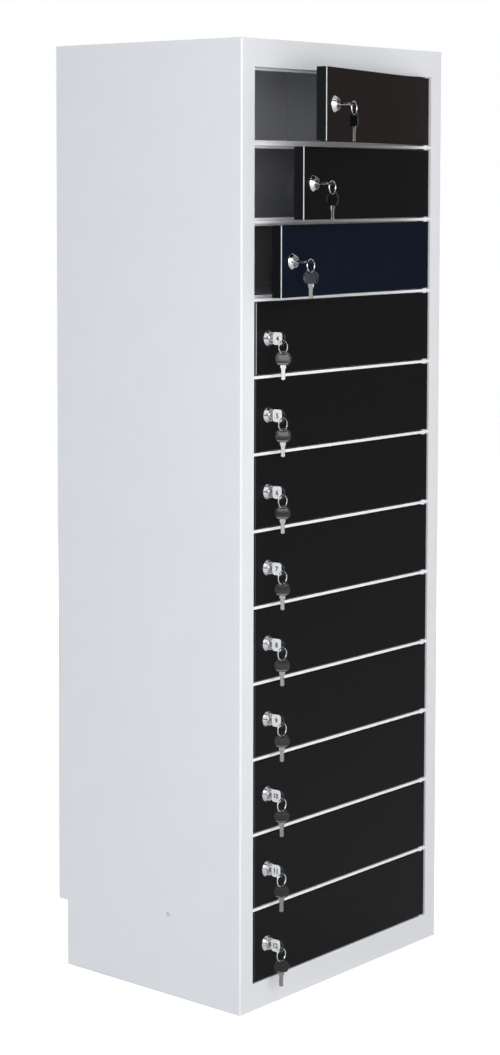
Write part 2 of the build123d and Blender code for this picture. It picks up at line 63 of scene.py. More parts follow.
# Points on a round corner, its least radius, and the angle past which an edge stays crisp.
CORNER_STEPS = 5
LEAST_CORNER = 0.02
CRISP_ANGLE = 32.0
LEFT, RIGHT = (-1.0, 0.0, 0.0), (1.0, 0.0, 0.0)
FORWARD, BACK = (0.0, -1.0, 0.0), (0.0, 1.0, 0.0)
LOG = logging.getLogger("charging_locker")

Socket = bpy.types.NodeSocket
Piece = bpy.types.Object
Triple = tuple[float, float, float]
Pair = tuple[float, float]
Profile = list[Pair]


class Slot(str, Enum):
    """Material slots of the record, handed to the number figures, which do not read them."""

    SHELL = "shell_paint"
    PIN = "pin_steel"
    MODULE = "module_plastic"
    UNIT = "unit_plastic"
    SCREW = "screw_zinc"
    LOCK = "lock_chrome"
    KEY = "key_nickel"
    SPARE = "spare_key_nickel"


class Grain(Enum):
    """Surface grains: the size of their features in millimetres and how much they are drawn out."""

    ORANGE_PEEL = (1.6, (1.0, 1.0, 1.0))
    MOULDED = (0.5, (1.0, 1.0, 1.0))
    DRAWN = (0.35, (1.0, 1.0, 0.12))
    CAST = (0.8, (1.0, 1.0, 1.0))


def linear(colour: Triple) -> tuple[float, float, float, float]:
    """Turns a colour in 0 to 255 steps into the linear values that a shader takes.

    Args:
        colour: red, green and blue as a screen shows them.

    Returns:
        Linear red, green and blue, and an alpha of one.
    """
    steps = np.asarray(colour, float) / 255.0
    low = steps / 12.92
    high = ((steps + 0.055) / 1.055) ** 2.4
    red, green, blue = np.where(steps <= 0.04045, low, high)
    return float(red), float(green), float(blue), 1.0


class NodeSheet:
    """The node tree of a material or a world, written as a few short calls.

    A factor, colour, shader or number is an output of another node, or a plain value.
    """

    def __init__(self, owner: bpy.types.Material | bpy.types.World) -> None:
        """Starts an empty tree.

        Args:
            owner: the material or world that the tree belongs to.
        """
        owner.use_nodes = True
        self.owner, self.tree = owner, owner.node_tree
        self.tree.nodes.clear()

    def add(self, kind: str, feeds: dict[str | int, object], **settings: object) -> bpy.types.Node:
        """Adds a node, sets its properties and feeds its inputs.

        Args:
            kind: the node's type name.
            feeds: an output to link, or a plain value, for each input by its name or number.
            settings: property names and their values.

        Returns:
            The new node.
        """
        node = self.tree.nodes.new(kind)
        for key, value in settings.items():
            setattr(node, key, value)
        for key, value in feeds.items():
            if isinstance(value, Socket):
                self.tree.links.new(value, node.inputs[key])
            else:
                node.inputs[key].default_value = value
        return node

    def maths(self, operation: str, first: object, second: object = 0.0) -> Socket:
        """Works on two numbers, and gives the result."""
        return self.add("ShaderNodeMath", {0: first, 1: second}, operation=operation).outputs[0]

    def noise(self, place: Socket, size: float, detail: float) -> Socket:
        """Noise from nought to one: features about size millimetres across, and detail finer layers."""
        feeds = {"Scale": 1.0 / (size * MM), "Detail": detail, "Vector": place}
        return self.add("ShaderNodeTexNoise", feeds).outputs["Fac"]

    def span(self, value: Socket, low: float, high: float) -> Socket:
        """Carries a number from the range nought to one to the range low to high, and keeps it in."""
        feeds = {"To Min": low, "To Max": high, "Value": value}
        return self.add("ShaderNodeMapRange", feeds).outputs["Result"]

    def mix(self, factor: Socket, first: object, second: object) -> Socket:
        """Mixes two colours: nought gives the first and one the second."""
        feeds = {"Factor": factor, 6: first, 7: second}
        return self.add("ShaderNodeMix", feeds, data_type="RGBA").outputs[2]

    def either(self, factor: Socket, first: Socket, second: Socket) -> Socket:
        """Mixes two shaders: nought gives the first and one the second."""
        return self.add("ShaderNodeMixShader", {0: factor, 1: first, 2: second}).outputs[0]


@dataclass(frozen=True)
class Finish:
    """A real finish: its colour, its sheen, its grain and how much it varies."""

    name: str
    colour: Triple
    roughness: float
    grain: Grain
    metallic: float = 0.0
    specular: float = 0.5
    relief: float = 0.02
    mottle: float = 0.04
    rough_spread: float = 0.06
    coat: float = 0.0
    coat_roughness: float = 0.08
    bump: float = 0.6
    patch_size: float = 55.0

    def shade(self, sheet: NodeSheet, place: Socket) -> Socket:
        """Gives the colour of a point: the plain colour, a little lighter or darker in soft patches.

        Args:
            sheet: the material's node sheet.
            place: the coordinates in metres.

        Returns:
            The colour.
        """
        patches = sheet.noise(place, self.patch_size, detail=3.0)
        low = linear(tuple(step * (1.0 - self.mottle) for step in self.colour))
        high = linear(tuple(min(255.0, step * (1.0 + self.mottle)) for step in self.colour))
        return sheet.mix(patches, low, high)

    def material(self) -> bpy.types.Material:
        """Builds the material: colour, roughness and a fine relief, all from the piece's own place.

        Returns:
            The material, made once and then kept.
        """
        known = bpy.data.materials.get(self.name)
        if known:
            return known
        sheet = NodeSheet(bpy.data.materials.new(self.name))
        place = sheet.add("ShaderNodeTexCoord", {}).outputs["Object"]
        size, stretch = self.grain.value
        drawn = sheet.add("ShaderNodeMapping", {"Vector": place, "Scale": stretch})
        fine = sheet.noise(drawn.outputs[0], size, detail=2.0)
        low, high = self.roughness - self.rough_spread, self.roughness + self.rough_spread
        relief = {"Strength": self.bump, "Distance": self.relief * MM, "Height": fine}
        feeds = {
            "Base Color": self.shade(sheet, place),
            "Metallic": self.metallic,
            "Roughness": sheet.span(fine, low, high),
            "Normal": sheet.add("ShaderNodeBump", relief).outputs[0],
            "Specular IOR Level": self.specular,
            "Coat Weight": self.coat,
            "Coat Roughness": self.coat_roughness,
        }
        shader = sheet.add("ShaderNodeBsdfPrincipled", feeds)
        sheet.add("ShaderNodeOutputMaterial", {"Surface": shader.outputs[0]})
        return sheet.owner


@dataclass(frozen=True)
class DoorPaint(Finish):
    """Dark paint on a folded door, with a painted highlight strip along the bend of its free edge.

    The door stands open by angle. The painted highlight strip runs from start to fold along x,
    counted from the free edge of the shut door, and reach deep behind its front. Its level is
    worn, and side is the colour of the flange beside it.
    """

    colour: Triple = (8, 8, 10)
    roughness: float = 0.46
    grain: Grain = Grain.ORANGE_PEEL
    specular: float = 0.17
    mottle: float = 0.05
    angle: float = 0.0
    # Grey level of the painted highlight on the bend of the free edge.
    worn: float = 60.0
    tinge: float = 4.0
    pivot: Pair = (201.5, -178.5)
    free_edge: float = -209.0
    front: float = -182.5
    start: float = -1.0
    fold: float = 1.75
    reach: float = 0.9
    side: Triple = (12.0, 12.0, 15.0)
    streak_size: float = 9.0
    streak_least: float = 0.55

    def shade(self, sheet: NodeSheet, place: Socket) -> Socket:
        """Lightens the paint with a painted highlight where its place, turned back by the door's angle, is
        on the strip.

        Args:
            sheet: the material's node sheet.
            place: the coordinates in metres.

        Returns:
            The colour.
        """
        plain = super().shade(sheet, place)
        turn, pivot = math.radians(self.angle), np.array(self.pivot)
        swung = np.array([[math.cos(turn), -math.sin(turn)], [math.sin(turn), math.cos(turn)]]) @ pivot
        feeds = {"Vector": place, "Location": (*((pivot - swung) * MM), 0.0), "Rotation": (0.0, 0.0, turn)}
        shut = sheet.add("ShaderNodeMapping", feeds, vector_type="TEXTURE")
        across, depth = sheet.add("ShaderNodeSeparateXYZ", {0: shut.outputs[0]}).outputs[:2]
        near_side = sheet.maths("LESS_THAN", across, (self.free_edge + self.fold) * MM)
        past_start = sheet.maths("GREATER_THAN", across, (self.free_edge + self.start) * MM)
        near_front = sheet.maths("LESS_THAN", depth, (self.front + self.reach) * MM)
        strip = sheet.maths("MULTIPLY", sheet.maths("MULTIPLY", near_side, near_front), past_start)
        streaks = sheet.span(sheet.noise(place, self.streak_size, detail=2.0), self.streak_least, 1.0)
        # Painted highlight: a lighter grey strip, broken up by noise, stands in for the light on the bend.
        painted_highlight = linear((self.worn, self.worn, self.worn + self.tinge))
        painted = sheet.mix(near_side, plain, linear(self.side))
        return sheet.mix(sheet.maths("MULTIPLY", strip, streaks), painted, painted_highlight)


SHELL = Finish(
    "shell_powder_coat", (234, 235, 238), 0.45, Grain.ORANGE_PEEL, specular=0.22, relief=0.03, mottle=0.008
)
# White powder coat of the crossbars, made lighter than the shell as a painted highlight of the light that
# their bent fronts catch.
BAR = Finish("bar_powder_coat_painted_highlight", (250, 250, 252), 0.28, Grain.ORANGE_PEEL, relief=0.02, mottle=0.004)
# Darker grey of the disc in the side dimple: painted shade of the dimple.
DIMPLE_SHADE = Finish("dimple_painted_shade_grey", (206, 209, 212), 0.5, Grain.MOULDED, relief=0.01)
# The shell's powder coat, made lighter inside the compartments as painted light.
INNER = Finish(
    "inner_powder_coat_painted_light", (244, 245, 247), 0.55, Grain.ORANGE_PEEL, specular=0.3, relief=0.03, mottle=0.02
)
STEEL = Finish("pin_zinc", (205, 205, 203), 0.28, Grain.DRAWN, metallic=1.0, relief=0.004)
ZINC = Finish("screw_zinc_plate", (158, 158, 156), 0.4, Grain.CAST, metallic=1.0, relief=0.01)
CHROME = Finish(
    "rosette_chrome", (226, 227, 230), 0.07, Grain.CAST, metallic=1.0, relief=0.002, rough_spread=0.02
)
NICKEL = Finish("key_nickel_plate", (162, 160, 156), 0.3, Grain.DRAWN, metallic=1.0, relief=0.004)
WIRE = Finish("ring_nickel_plate", (240, 240, 240), 0.16, Grain.DRAWN, metallic=1.0, relief=0.002)
PLATE = Finish("plate_bright", (240, 241, 243), 0.3, Grain.MOULDED, specular=0.6, relief=0.006)
BOW = Finish("bow_black_plastic", (22, 23, 28), 0.2, Grain.MOULDED, specular=0.4, relief=0.006, coat=0.3)
MARK = Finish("number_ink", (12, 12, 14), 0.5, Grain.MOULDED, relief=0.0)
BEZEL = Finish("module_black_plastic", (34, 34, 36), 0.5, Grain.MOULDED, specular=0.4, relief=0.02)
CASE = Finish("unit_black_plastic", (44, 44, 46), 0.56, Grain.CAST, specular=0.4, relief=0.04)
TONGUE = Finish("tongue_plastic", (225, 226, 228), 0.4, Grain.MOULDED, relief=0.004)
CONTACT = Finish("contact_brass", (205, 178, 118), 0.25, Grain.DRAWN, metallic=1.0, relief=0.003)
# The colours of the doors that stand ajar are a painted reflection of the room, and the painted highlight
# strip of door 4 lies further in.
DOOR_LOOKS = {
    1: {"colour": (24, 14, 11), "specular": 0.12, "worn": 235.0},
    2: {"colour": (11, 11, 12), "specular": 0.09, "worn": 235.0},
    3: {"colour": (10, 19, 34), "specular": 0.065, "worn": 235.0},
    4: {"worn": 175.0, "start": 1.1, "fold": 2.6},
}


@dataclass
class Shape:
    """A closed surface: points in millimetres, quads and triangles as rows of point numbers."""

    points: np.ndarray
    quads: np.ndarray
    tris: np.ndarray

    def outward(self) -> "Shape":
        """Turns the faces round if they point inwards, where the sum of a . (b x c) over the corners of
        all triangles, six times the volume, is below nought.

        Returns:
            The shape with its faces outwards.
        """
        tris = np.vstack([self.quads[:, [0, 1, 2]], self.quads[:, [0, 2, 3]], self.tris]).astype(int)
        a, b, c = (self.points[tris[:, i]] for i in range(3))
        if np.einsum("ij,ij->i", a, np.cross(b, c)).sum() >= 0.0:
            return self
        return Shape(self.points, self.quads[:, ::-1], self.tris[:, ::-1])

    def placed(self, seat: np.ndarray) -> "Shape":
        """Carries the points to a seat, a 4 by 4 matrix in millimetres."""
        return Shape(self.points @ seat[:3, :3].T + seat[:3, 3], self.quads, self.tris)

    def shifted(self, x: float = 0.0, y: float = 0.0, z: float = 0.0) -> "Shape":
        """Moves the points without turning them."""
        return Shape(self.points + np.array([x, y, z]), self.quads, self.tris)


def joined(shapes: list[Shape]) -> Shape:
    """Puts several shapes into one, each with its point numbers moved on."""
    starts = np.cumsum([0] + [len(shape.points) for shape in shapes[:-1]])
    return Shape(
        np.vstack([shape.points for shape in shapes]),
        np.vstack([shape.quads + start for shape, start in zip(shapes, starts)]),
        np.vstack([shape.tris + start for shape, start in zip(shapes, starts)]),
    )


def skin(rows: np.ndarray, ring: bool = False) -> Shape:
    """Stretches a skin over closed rows of points: quad (i, j) joins row i to row i + 1.

    Args:
        rows: points by row, by step round the row, by x, y and z.
        ring: True joins the last row to the first, otherwise a fan closes each end.

    Returns:
        The closed shape, with its faces outwards.
    """
    count, steps = rows.shape[:2]
    number = np.arange(count * steps).reshape(count, steps)
    if ring:
        number = np.vstack([number, number[:1]])
    here, across = number[:-1], np.roll(number[:-1], -1, axis=1)
    above, beyond = number[1:], np.roll(number[1:], -1, axis=1)
    quads = np.stack([here, across, beyond, above], axis=-1).reshape(-1, 4)
    points = rows.reshape(-1, 3)
    if ring:
        return Shape(points, quads, np.zeros((0, 3), int)).outward()
    ends = np.array([rows[0].mean(axis=0), rows[-1].mean(axis=0)])
    first, last = len(points), len(points) + 1
    low, high = number[0], number[-1]
    start = np.stack([np.full(steps, first), np.roll(low, -1), low], axis=-1)
    finish = np.stack([np.full(steps, last), high, np.roll(high, -1)], axis=-1)
    return Shape(np.vstack([points, ends]), quads, np.vstack([start, finish])).outward()


def full_turn(steps: int) -> np.ndarray:
    """Angles of one turn in equal steps, in radians, without the last."""
    return np.linspace(0.0, 2.0 * np.pi, steps, endpoint=False)


def turned(profile: Profile, steps: int = 28, ring: bool = False) -> Shape:
    """Turns a profile round the z axis: x = r cos a, y = r sin a, z as in the profile.

    Args:
        profile: radius and height of each row.
        steps: number of steps round.
        ring: True for a profile that closes on itself round a hole.

    Returns:
        The turned shape.
    """
    radius, height = np.array(profile, float).T
    angle = full_turn(steps)
    x, y = np.outer(radius, np.cos(angle)), np.outer(radius, np.sin(angle))
    return skin(np.stack([x, y, np.outer(height, np.ones(steps))], axis=-1), ring)


def slab(width: float, tall: float, radius: float, rows: Profile, ring: bool = False) -> Shape:
    """Stacks outlines with round corners: each is a rectangle drawn in by an inset, at a height, with
    a quarter circle about each corner's centre.

    Args:
        width: size along x.
        tall: size along y.
        radius: corner radius.
        rows: inset and height of each row, from one side of the slab to the other.
        ring: True for a frame round a hole, whose last row meets the first.

    Returns:
        The closed shape.
    """
    centre = np.array([width / 2 - radius, tall / 2 - radius])
    quarter = np.linspace(0.0, np.pi / 2, CORNER_STEPS)
    angle = np.concatenate([quarter + turn * np.pi / 2 for turn in range(4)])
    corners = centre * np.repeat([[1, 1], [-1, 1], [-1, -1], [1, -1]], CORNER_STEPS, axis=0)
    circle = np.stack([np.cos(angle), np.sin(angle)], axis=-1)
    outlines = []
    for inset, height in rows:
        outline = corners + max(radius - inset, LEAST_CORNER) * circle
        outlines.append(np.column_stack([outline, np.full(len(angle), height)]))
    return skin(np.array(outlines), ring)


def block(width: float, tall: float, low: float, high: float, edge: float, corner: float) -> Shape:
    """Plain slab between two heights, with round corners and broken edges."""
    return slab(width, tall, corner, [(edge, low), (0, low + edge), (0, high - edge), (edge, high)])


def pressed_disc(radius: float, tail: float, dome: float, recess: float, slots: Profile) -> Shape:
    """A round head whose face has slots: height = dome (1 - (r / radius)^2) less the recess in a slot.

    Args:
        radius: radius of the head.
        tail: depth of its side.
        dome: height of the middle above the edge.
        recess: depth of the slots.
        slots: half width and half height of each slot.

    Returns:
        The closed shape, with its edge at z = 0.
    """
    wall, edge_drop = 0.12, 0.15
    angle = full_turn(72)
    reach = np.concatenate([np.linspace(0.04, 0.97, 26), [0.995, 1.0, 1.0]]) * radius
    x, y = np.outer(reach, np.cos(angle)), np.outer(reach, np.sin(angle))
    height = dome * (1.0 - (np.hypot(x, y) / radius) ** 2)
    inside = np.zeros_like(x)
    for slot in slots:
        within = [np.clip((half - np.abs(v)) / wall + 0.5, 0.0, 1.0) for half, v in zip(slot, (x, y))]
        inside = np.maximum(inside, within[0] * within[1])
    height = height - recess * inside
    height[-2] -= edge_drop
    height[-1] = -tail
    return skin(np.stack([x, y, height], axis=-1))


def add_object(name: str, data: bpy.types.ID) -> Piece:
    """Adds an object with its mesh, lamp, lens or text to the scene."""
    thing = bpy.data.objects.new(name, data)
    bpy.context.scene.collection.objects.link(thing)
    return thing


def place_piece(name: str, mesh: bpy.types.Mesh, body: str) -> Piece:
    """Puts a finished mesh into the scene as a piece that rides on a body.

    Args:
        name: the piece's name.
        mesh: its mesh, in the cabinet's frame and metres.
        body: the body that it rides on.

    Returns:
        The new object.
    """
    piece = add_object(name, mesh)
    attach(piece, body)
    return piece


def make_piece(name: str, shape: Shape, finish: Finish, body: str) -> Piece:
    """Makes a shape a piece: smooth, with an edge kept crisp where its faces turn past an angle.

    Args:
        name: the piece's name.
        shape: its shape, in the cabinet's frame and millimetres.
        finish: its finish.
        body: the body that it rides on.

    Returns:
        The new object.
    """
    mesh = bpy.data.meshes.new(name)
    mesh.from_pydata((shape.points * MM).tolist(), [], shape.quads.tolist() + shape.tris.tolist())
    mesh.polygons.foreach_set("use_smooth", np.ones(len(mesh.polygons), bool))
    mesh.set_sharp_from_angle(angle=math.radians(CRISP_ANGLE))
    mesh.materials.append(finish.material())
    return place_piece(name, mesh, body)


def make_set(
    number: int, node: str, body: str, kinds: Sequence[tuple[str, Shape, Finish]]
) -> list[Piece]:
    """Makes the pieces of one door that stand in for a node of the model.

    Args:
        number: the door's number, which every name ends with.
        node: name of the node, without the number.
        body: name of the body that they ride on, without the number.
        kinds: name, shape and finish of each piece, of which the first replaces the node.

    Returns:
        The pieces.
    """
    rider = f"{body}_{number}"
    pieces = [make_piece(f"{name}_{number}", shape, finish, rider) for name, shape, finish in kinds]
    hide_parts(f"{node}_{number}")
    return pieces


def seat_of(origin: Sequence[float], x_dir: Sequence[float], z_dir: Sequence[float]) -> np.ndarray:
    """Matrix of a seat from its origin, its x direction and its z direction.

    Args:
        origin: where the seat is, in millimetres.
        x_dir: unit vector of its x.
        z_dir: unit vector of its z.

    Returns:
        The 4 by 4 matrix.
    """
    seat = np.eye(4)
    seat[:3, :3] = np.column_stack([x_dir, np.cross(z_dir, x_dir), z_dir])
    seat[:3, 3] = origin
    return seat


@dataclass
class LockSeats:
    """Where one door's lock, key, split ring and spare key sit at rest, read from the joints."""

    number: int
    bow_centre: float = 19.6
    spare_drop: float = 22.46
    spare_turn: float = 45.0

    def lock(self) -> np.ndarray:
        """Finds the place on the door's outer face at the lock.

        Returns:
            The seat, with x to the right, y up and z outward.
        """
        joint = JOINTS[f"key_turn_{self.number}"]
        outward = np.array(joint["axis"], float)
        return seat_of(np.array(joint["pos_m"]) / MM, np.cross([0.0, 0.0, 1.0], outward), outward)

    def key(self) -> np.ndarray:
        """Turns the lock's seat with its key, by the middle of the range that the key can turn.

        Returns:
            The seat.
        """
        low, high = JOINTS[f"key_turn_{self.number}"]["range_deg"]
        turn = math.radians(-(low + high) / 2)
        seat = self.lock()
        x_dir = seat[:3, 0] * math.cos(turn) + seat[:3, 1] * math.sin(turn)
        return seat_of(seat[:3, 3], x_dir, seat[:3, 2])

    def bow(self) -> np.ndarray:
        """Seat in the middle of the key's bow, with x outward and z to the key's left."""
        key = self.key()
        return seat_of(key[:3, 3] + self.bow_centre * key[:3, 2], key[:3, 2], -key[:3, 0])

    def ring(self) -> np.ndarray:
        """Finds the point where the split ring hangs.

        Returns:
            The seat, turned as the lock's is.
        """
        seat = self.lock()
        seat[:3, 3] = np.array(JOINTS[f"ring_swing_{self.number}"]["pos_m"]) / MM
        return seat

    def spare(self) -> np.ndarray:
        """Goes down from the ring to the middle of the hanging key's bow.

        Returns:
            The seat, with x up, turned about the upright.
        """
        ring = self.ring()
        turn = math.radians(SPARE_TURNS.get(self.number, self.spare_turn))
        facing = ring[:3, 0] * math.sin(turn) - ring[:3, 2] * math.cos(turn)
        return seat_of(ring[:3, 3] - self.spare_drop * ring[:3, 1], ring[:3, 1], facing)


@dataclass
class CamLock:
    """Cam lock in a door: chrome rosette on a threaded body with two flats, and a nut behind."""

    number: int
    rosette: float = 11.8
    tall: float = 6.0
    bevel: float = 3.1
    bore: float = 6.25
    body: float = 9.4
    flats: float = 8.0
    door: float = 0.9
    behind: float = 16.2
    pitch: float = 1.0
    thread: float = 0.22
    nut_corner: float = 13.4
    nut_low: float = -5.0
    nut_high: float = -1.0
    nut_chamfer: float = 0.55

    def housing_shape(self) -> Shape:
        """Rosette and body in one turned skin; the thread takes a cosine off the radius along a helix.

        Returns:
            The shape, round its bore, with the door's face at z = 0.
        """
        top, edge = self.tall, self.rosette - self.bevel
        bore, rosette = self.bore, self.rosette
        head = [(bore, top - 0.9), (bore + 0.25, top - 0.5), (bore + 0.75, top - 0.45)]
        head += [(bore + 1.0, top - 0.05), (bore + 1.2, top), (edge - 0.3, top), (edge, top - 0.12)]
        head += [(rosette - 0.35, 1.25), (rosette - 0.08, 0.95), (rosette, 0.6), (rosette, 0.0)]
        head += [(self.body + 0.3, 0.0)]
        rows = np.arange(-self.door, -self.behind, -self.pitch / 4)
        profile = np.array(head + [(self.body, z) for z in rows] + [(self.bore, -self.behind)], float)
        angle = full_turn(48)
        radius, height = (np.repeat(profile[:, [column]], len(angle), axis=1) for column in (0, 1))
        on_thread = np.zeros((len(profile), 1))
        on_thread[len(head):-1] = 1.0
        phase = 2.0 * np.pi * height / self.pitch + angle
        radius = radius - on_thread * self.thread * (1.0 - np.cos(phase))
        x, y = radius * np.cos(angle), radius * np.sin(angle)
        y = np.where(on_thread > 0, np.clip(y, -self.flats, self.flats), y)
        return skin(np.stack([x, y, height], axis=-1), ring=True)

    def nut_shape(self) -> Shape:
        """Hexagon nut: radius = half the width over flats / cos(angle to the nearest flat's middle), with
        its corners cut at both ends.

        Returns:
            The shape.
        """
        angle = full_turn(72)
        hexagon = self.nut_corner * math.cos(math.pi / 6) / np.cos((angle % (np.pi / 3)) - np.pi / 6)
        cut = np.minimum(hexagon, self.nut_corner - 1.0)
        hole = np.full(len(angle), self.body + 0.05)
        low, high = self.nut_low, self.nut_high
        radius = np.array([hole, cut, hexagon, hexagon, cut, hole])
        level = np.array([high, high, high - self.nut_chamfer, low + self.nut_chamfer, low, low])
        height = np.repeat(level[:, None], len(angle), axis=1)
        return skin(np.stack([radius * np.cos(angle), radius * np.sin(angle), height], axis=-1), ring=True)

    def build(self) -> list[Piece]:
        """Makes the housing and its nut on their door.

        Returns:
            The two pieces.
        """
        seat = LockSeats(self.number).lock()
        kinds = (
            ("lock_rosette", self.housing_shape().placed(seat), CHROME),
            ("lock_nut", self.nut_shape().placed(seat), ZINC),
        )
        return make_set(self.number, "lock_housing", "door_body", kinds)


@dataclass
class KeyForm:
    """A key: a round moulded bow with a slot, on a nickel-plated blade with cuts in both edges."""

    bow_radius: float = 11.4
    bow_flat: float = 8.8
    bow_thick: float = 2.6
    rim: float = 1.3
    ramp: float = 0.7
    panel: float = 0.75
    swell: float = 0.62
    edge_drops: Triple = (0.35, 0.12, 0.5)
    slot_out: float = 7.6
    slot_wide: float = 1.5
    slot_long: float = 3.9
    shoulder_wide: float = 8.6
    shoulder_long: float = 4.2
    blade_wide: float = 6.4
    blade_long: float = 21.1
    blade_thick: float = 2.0
    tip: float = 2.6
    lead: float = 2.4
    cut_flat: float = 1.35
    cut_slope: float = 3.0
    cut_behind: float = 0.8
    cuts: tuple[float, ...] = (0.5, 1.1, 0.3, 0.9, 0.6, 1.2)

    def bow_shape(self) -> Shape:
        """Bow round its slot: point = slot's centre + direction (near + s (far - near)), where near is
        the slot's edge and far is the round outline with its flat; the rim stands above the panel.

        Returns:
            The shape, with its middle at the origin, its outer end to +x and its faces along z.
        """
        angle = full_turn(80) + 0.001
        cos_a, sin_a = np.cos(angle), np.sin(angle)
        near = np.minimum(self.slot_wide / np.abs(cos_a), self.slot_long / np.abs(sin_a))
        far = -self.slot_out * cos_a + np.sqrt(self.bow_radius**2 - (self.slot_out * sin_a) ** 2)
        flat = (-self.bow_flat - self.slot_out) / np.where(cos_a < -1e-3, cos_a, -1e-3)
        far = np.minimum(far, flat)
        share = np.array([0, 0.03, 0.1, 0.2, 0.34, 0.48, 0.6, 0.7, 0.78, 0.84, 0.9, 0.95, 0.985, 1.0])
        reach = near + share[:, None] * (far - near)
        x, y = self.slot_out + reach * cos_a, reach * sin_a
        from_edge = np.minimum(self.bow_radius - np.hypot(x, y), x + self.bow_flat)
        on_rim = 1.0 - np.clip((from_edge - self.rim) / self.ramp, 0.0, 1.0)
        blend = on_rim * on_rim * (3.0 - 2.0 * on_rim)
        swell = self.swell * (1.0 - np.clip(np.hypot(x, y) / (self.bow_radius - self.rim), 0.0, 1.0) ** 2)
        height = self.bow_thick / 2 - (self.panel - swell) * (1.0 - blend)
        for row, drop in zip((0, -2, -1), self.edge_drops):
            height[row] -= drop
        front = np.stack([x, y, height], axis=-1)
        behind = np.stack([x, y, -height], axis=-1)[::-1]
        return skin(np.concatenate([front, behind]), ring=True)

    def blade_shape(self) -> Shape:
        """Milled section carried from the bow to the tip: y = low + (across + 1) / 2 (high - low), with
        low and high the blade's edges, in which each cut is a notch with sloping sides.

        Returns:
            The shape, with the bow's middle at the origin.
        """
        side = np.array([-1, -0.86, -0.36, -0.26, 0.26, 0.36, 0.86, 1])
        level = np.array([0.6, 1, 1, 0.5, 0.5, 1, 1, 0.6])
        across, thick = np.concatenate([side, side[::-1]]), np.concatenate([-level, level])
        run = np.linspace(-1.0, self.blade_long, 104)
        neck = self.shoulder_long
        wide = np.where(run < neck, self.shoulder_wide / 2, self.blade_wide / 2)
        tip = np.clip((self.blade_long - run) / self.tip, 0.0, 1.0)
        wide = wide * np.sqrt(np.clip(1.0 - (1.0 - tip) ** 2, 0.02, 1.0))
        first, last = neck + self.lead, self.blade_long - self.tip
        station = np.clip((run - first) / (last - first), 0.0, 1.0) * len(self.cuts)
        which = np.minimum(station.astype(int), len(self.cuts) - 1)
        depth = np.array(self.cuts)[which]
        notch = np.clip(self.cut_flat - np.abs(station - which - 0.5) * self.cut_slope, 0.0, 1.0)
        active = (run > first) & (run < last)
        high = wide - active * notch * depth
        low = -wide + active * np.roll(notch, 2) * depth[::-1] * self.cut_behind
        y = low[:, None] + (across + 1.0) / 2.0 * (high - low)[:, None]
        x = np.repeat(-self.bow_flat - run[:, None], len(across), axis=1)
        z = np.repeat(thick[None, :] * self.blade_thick / 2, len(run), axis=0)
        return skin(np.stack([x, y, z], axis=-1))


@dataclass
class NumberPlate:
    """Bright plate with the door's number, let into one face of a key's bow."""

    number: int
    wide: float = 16.0
    tall: float = 18.0
    inward: float = 2.0
    base: float = KeyForm.bow_thick / 2 - 0.5
    thick: float = 0.7
    corner: float = 3.4
    lip: float = 0.22
    figure_tall: float = 7.4
    figure_deep: float = 2.0
    figure_sunk: float = 0.2

    def plate_shape(self) -> Shape:
        """Round-cornered outlines stacked, with a rim that stands above the plate's panel.

        Returns:
            The shape, on the bow's panel.
        """
        rows = [(0.0, -0.3), (0.0, self.thick - 0.15), (0.15, self.thick), (1.1, self.thick)]
        rows += [(1.3, self.thick - self.lip), (2.2, self.thick - self.lip)]
        return slab(self.wide, self.tall, self.corner, rows).shifted(x=-self.inward, z=self.base)

    def figures(self, kind: str, seat: np.ndarray, body: str, slot: Slot) -> Piece:
        """Writes the door's number on the plate, upright when the bow's x points to the right.

        Args:
            kind: the piece's name, without the number.
            seat: the bow's seat.
            body: name of the body that it rides on, without the number.
            slot: not used.

        Returns:
            The piece with the figures.
        """
        name = f"{kind}_{self.number}"
        curve = bpy.data.curves.new(name, "FONT")
        curve.body = str(self.number)
        curve.size, curve.extrude, curve.offset, curve.resolution_u = 1.0, 0.02, 0.03, 3
        curve.align_x, curve.align_y = "CENTER", "CENTER"
        holder = add_object("figure_holder", curve)
        mesh = bpy.data.meshes.new_from_object(holder)
        bpy.data.objects.remove(holder)
        points = np.empty(len(mesh.vertices) * 3, np.float32)
        mesh.vertices.foreach_get("co", points)
        points = points.reshape(-1, 3)
        points -= (points.max(axis=0) + points.min(axis=0)) / 2
        scale = self.figure_tall / np.ptp(points[:, 1])
        flat = np.column_stack([points[:, :2] * scale, points[:, 2] * self.figure_deep])
        flat += np.array([-self.inward, 0.0, self.base + self.thick - self.figure_sunk])
        placed = flat @ seat[:3, :3].T + seat[:3, 3]
        mesh.vertices.foreach_set("co", (placed * MM).astype(np.float32).ravel())
        mesh.materials.clear()
        mesh.materials.append(MARK.material())
        mesh.update()
        return place_piece(name, mesh, f"{body}_{self.number}")


